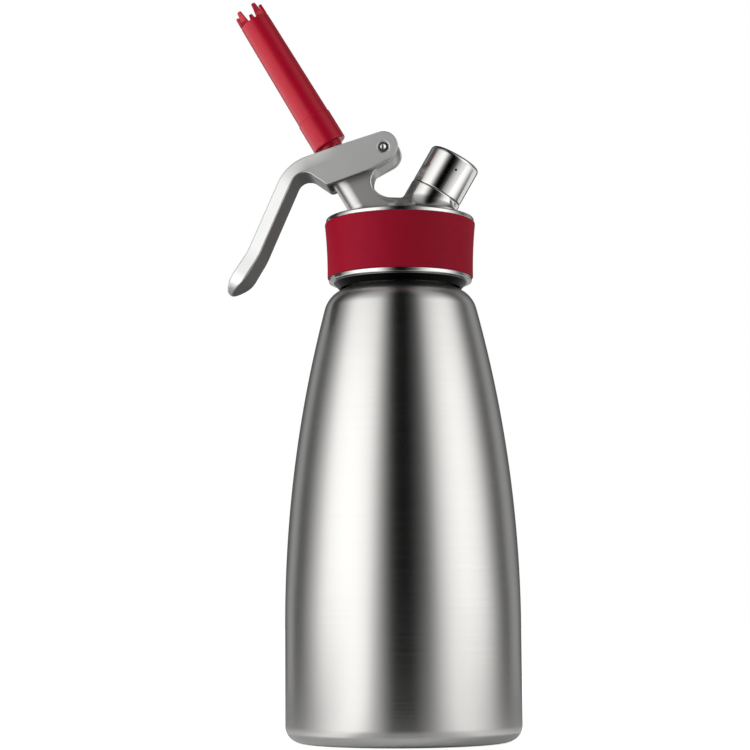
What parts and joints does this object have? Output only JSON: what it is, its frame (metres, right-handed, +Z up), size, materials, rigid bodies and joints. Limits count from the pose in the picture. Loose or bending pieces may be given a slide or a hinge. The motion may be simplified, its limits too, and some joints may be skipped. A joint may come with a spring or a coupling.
{
  "type": "cream whipper",
  "caption": "Tapered steel cream whipper with a screwed head, sprung dispensing lever, tilted crowned nozzle and a capped charger stud.",
  "frame": {"origin": "middle of the base plane, on the bottle axis", "axes": "+Z up along the bottle axis, lever and nozzle towards -X, charger stud towards +X"},
  "size_m": [0.1093, 0.087, 0.2805],
  "materials": {
    "bottle_steel": "satin brushed stainless steel",
    "head_steel": "polished stainless casting",
    "grip_silicone": "matte red silicone",
    "lever_steel": "satin cast steel with a polished handle",
    "pin_steel": "turned steel",
    "nozzle_plastic": "glossy red plastic",
    "cap_steel": "polished steel",
    "stem_steel": "turned stainless steel",
    "spring_steel": "spring wire",
    "seal_rubber": "black seal rubber",
    "gasket_silicone": "red silicone gasket",
    "bush_brass": "turned brass"
  },
  "bodies": {
    "bottle_body": {"bottle": "bottle_steel"},
    "gasket_ring": {"head_gasket": "gasket_silicone"},
    "head": {"head_body": "head_steel", "grip_sleeve": "grip_silicone", "pivot_bush": "bush_brass", "spring_seat": "stem_steel", "stem_o_ring": "seal_rubber", "valve_spring": "spring_steel", "pin_bush": "bush_brass", "piercing_pin": "pin_steel", "charger_seal": "seal_rubber", "check_sleeve": "seal_rubber"},
    "lever_group": {"lever": "lever_steel", "pivot_pin": "pin_steel"},
    "valve_group": {"valve_stem": "stem_steel", "thrust_collar": "stem_steel", "valve_seal": "seal_rubber", "seal_washer": "stem_steel", "seal_nut": "stem_steel"},
    "nozzle_body": {"nozzle": "nozzle_plastic"},
    "cap_body": {"charger_cap": "cap_steel"}
  },
  "joints": [
    {"name": "head_lift", "type": "slide", "parent": "bottle_body", "child": "gasket_ring", "axis": [0, 0, 1], "range_m": [0, 0.009]},
    {"name": "head_turn", "type": "hinge", "parent": "gasket_ring", "child": "head", "pos_m": [0, 0, 0.18], "axis": [0, 0, 1], "range_deg": [0, 1080]},
    {"name": "lever_pull", "type": "hinge", "parent": "head", "child": "lever_group", "pos_m": [-0.00534, 0, 0.22053], "axis": [0, -1, 0], "range_deg": [0, 11], "stiffness_Nm_per_rad": 0.6, "springref_deg": -11.46},
    {"name": "valve_press", "type": "slide", "parent": "head", "child": "valve_group", "axis": [0.5075, 0, -0.8616], "range_m": [0, 0.00291], "deforming": ["valve_spring"]},
    {"name": "nozzle_removal", "type": "slide", "parent": "valve_group", "child": "nozzle_body", "axis": [-0.5075, 0, 0.8616], "range_m": [0, 0.012]},
    {"name": "cap_removal", "type": "slide", "parent": "head", "child": "cap_body", "axis": [0.5, 0, 0.866], "range_m": [0, 0.012]}
  ],
  "couplings": [
    {"joint": "head_lift", "follows": "head_turn", "m_per_rad": 0.00047746},
    {"joint": "valve_press", "follows": "lever_pull", "m_per_rad": 0.01515}
  ]
}
